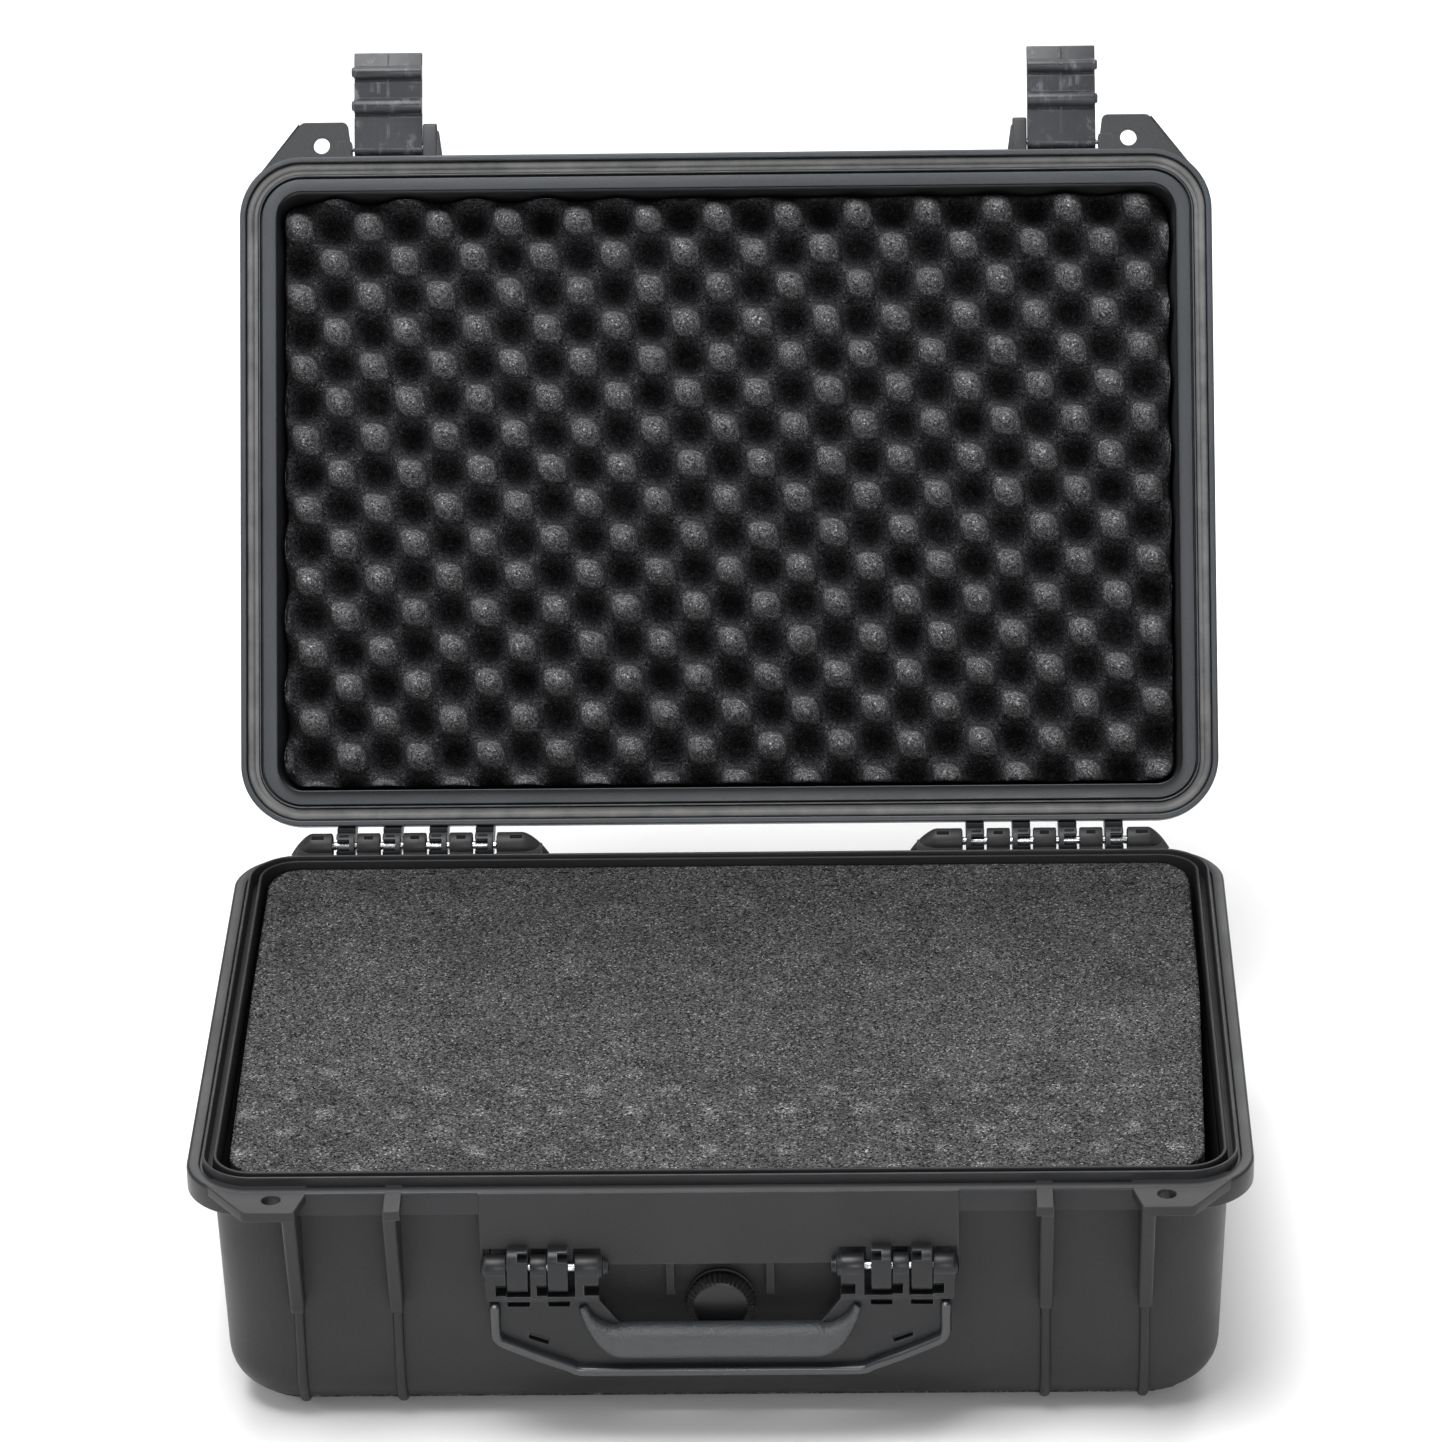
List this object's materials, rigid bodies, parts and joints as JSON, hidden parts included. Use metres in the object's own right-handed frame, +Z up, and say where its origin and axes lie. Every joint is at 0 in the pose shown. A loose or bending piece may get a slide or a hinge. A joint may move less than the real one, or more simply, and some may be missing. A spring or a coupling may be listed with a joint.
{
  "type": "hard equipment case",
  "caption": "Hard equipment case with an open hinged lid, egg-crate lid foam, pluck foam base, draw latches, folding carry handle and purge valve.",
  "frame": {"origin": "centre of the flat panel under the base, midway between the sides and between the flange's front and rear edges; the runner ribs stand 2 mm below it", "axes": "+X to the right as seen from the front, -Y towards the front (handle and latches), +Z up"},
  "size_m": [0.47, 0.5516, 0.4567],
  "materials": {
    "shell_plastic": "fine moulded grain",
    "handle_plastic": "satin, grained grip",
    "latch_plastic": "satin, lightly scuffed",
    "valve_plastic": "satin",
    "membrane": "matte",
    "foam": "open-cell foam",
    "gasket_rubber": "matte",
    "seal_rubber": "matte",
    "pin_steel": "brushed"
  },
  "bodies": {
    "base": {"base_shell": "shell_plastic", "base_foam_pad": "foam", "base_foam_lower": "foam", "base_foam_pluck": "foam", "hinge_pin_right": "pin_steel", "hinge_pin_left": "pin_steel", "handle_pin_right": "pin_steel", "handle_pin_left": "pin_steel", "valve_bushing": "valve_plastic", "valve_nut": "valve_plastic", "valve_membrane": "membrane", "knob_seal": "seal_rubber"},
    "lid": {"lid_shell": "shell_plastic", "lid_gasket": "gasket_rubber", "lid_foam": "foam", "latch_pin_right": "pin_steel", "latch_pin_left": "pin_steel"},
    "latch_right": {"latch_right": "latch_plastic"},
    "latch_left": {"latch_left": "latch_plastic"},
    "handle": {"carry_handle": "handle_plastic"},
    "knob": {"purge_knob": "valve_plastic"}
  },
  "joints": [
    {"name": "lid_hinge", "type": "hinge", "parent": "base", "child": "lid", "pos_m": [0, 0.1722, 0.123], "axis": [-1, 0, 0], "range_deg": [-120, 0]},
    {"name": "latch_right_hinge", "type": "hinge", "parent": "lid", "child": "latch_right", "pos_m": [0.1629, 0.34588, 0.41382], "axis": [-1, 0, 0], "range_deg": [-90, 0]},
    {"name": "latch_left_hinge", "type": "hinge", "parent": "lid", "child": "latch_left", "pos_m": [-0.1629, 0.34588, 0.41382], "axis": [-1, 0, 0], "range_deg": [-90, 0]},
    {"name": "handle_hinge", "type": "hinge", "parent": "base", "child": "handle", "pos_m": [0, -0.166, 0.087], "axis": [-1, 0, 0], "range_deg": [0, 90]},
    {"name": "knob_turn", "type": "hinge", "parent": "base", "child": "knob", "pos_m": [0, -0.155, 0.062], "axis": [0, -1, 0], "range_deg": [0, 360]}
  ]
}
